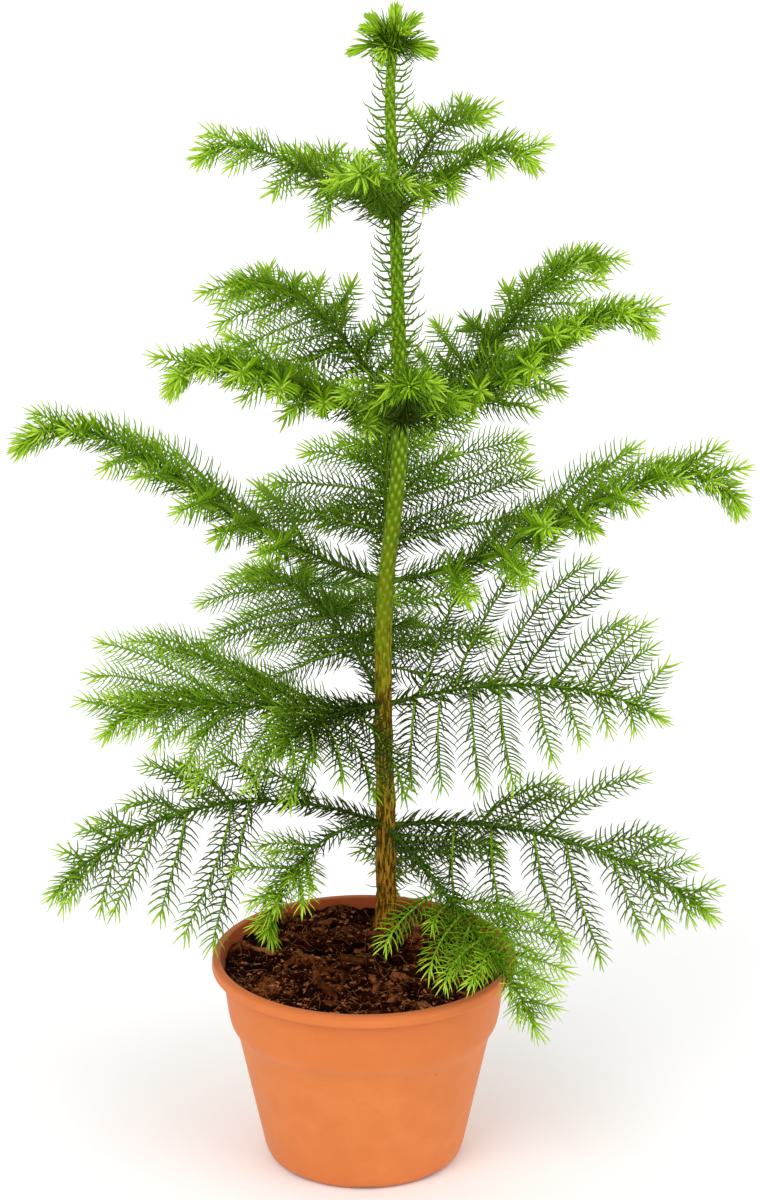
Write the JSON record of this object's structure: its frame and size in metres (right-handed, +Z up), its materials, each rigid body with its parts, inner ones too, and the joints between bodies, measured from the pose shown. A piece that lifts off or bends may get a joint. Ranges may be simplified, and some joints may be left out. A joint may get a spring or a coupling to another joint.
{
  "type": "potted norfolk island pine",
  "caption": "Young Norfolk Island pine with tiers of feathery needle-clad boughs round a straight green leader, standing in a round terracotta-coloured plastic nursery pot filled with peat.",
  "frame": {"origin": "centre of the pot's flat underside", "axes": "+Z up along the pot's axis, +X to the right in the picture's view, +Y away from its viewer"},
  "size_m": [0.4432, 0.3825, 0.7223],
  "materials": {
    "pot_plastic": "matt terracotta-orange moulded plastic",
    "peat": "rough dark brown peat with pale fibres",
    "trunk_bark": "fibrous brown bark low down, green young stem above",
    "bough_bark": "thin green-brown bark",
    "needles": "satin green needles, yellow-green at the young tips"
  },
  "bodies": {
    "root": {"crown_tuft": "needles", "pot": "pot_plastic", "soil": "peat", "tier1_back_bough": "bough_bark", "tier1_back_spray": "needles", "tier1_front_left_bough": "bough_bark", "tier1_front_left_spray": "needles", "tier1_front_right_bough": "bough_bark", "tier1_front_right_spray": "needles", "tier1_left_bough": "bough_bark", "tier1_left_spray": "needles", "tier1_right_bough": "bough_bark", "tier1_right_spray": "needles", "tier2_back_left_bough": "bough_bark", "tier2_back_left_spray": "needles", "tier2_back_right_bough": "bough_bark", "tier2_back_right_spray": "needles", "tier2_front_left_bough": "bough_bark", "tier2_front_left_spray": "needles", "tier2_left_bough": "bough_bark", "tier2_left_spray": "needles", "tier2_right_bough": "bough_bark", "tier2_right_spray": "needles", "tier3_back_bough": "bough_bark", "tier3_back_spray": "needles", "tier3_left_bough": "bough_bark", "tier3_left_spray": "needles", "tier3_right_bough": "bough_bark", "tier3_right_spray": "needles", "tier4_front_bough": "bough_bark", "tier4_front_spray": "needles", "tier4_left_back_bough": "bough_bark", "tier4_left_back_spray": "needles", "tier4_left_front_bough": "bough_bark", "tier4_left_front_spray": "needles", "tier4_right_back_bough": "bough_bark", "tier4_right_back_spray": "needles", "tier4_right_front_bough": "bough_bark", "tier4_right_front_spray": "needles", "tier5_back_left_bough": "bough_bark", "tier5_back_left_spray": "needles", "tier5_back_right_bough": "bough_bark", "tier5_back_right_spray": "needles", "tier5_front_bough": "bough_bark", "tier5_front_spray": "needles", "tier5_left_bough": "bough_bark", "tier5_left_spray": "needles", "tier5_right_bough": "bough_bark", "tier5_right_spray": "needles", "trunk": "trunk_bark"}
  },
  "joints": []
}
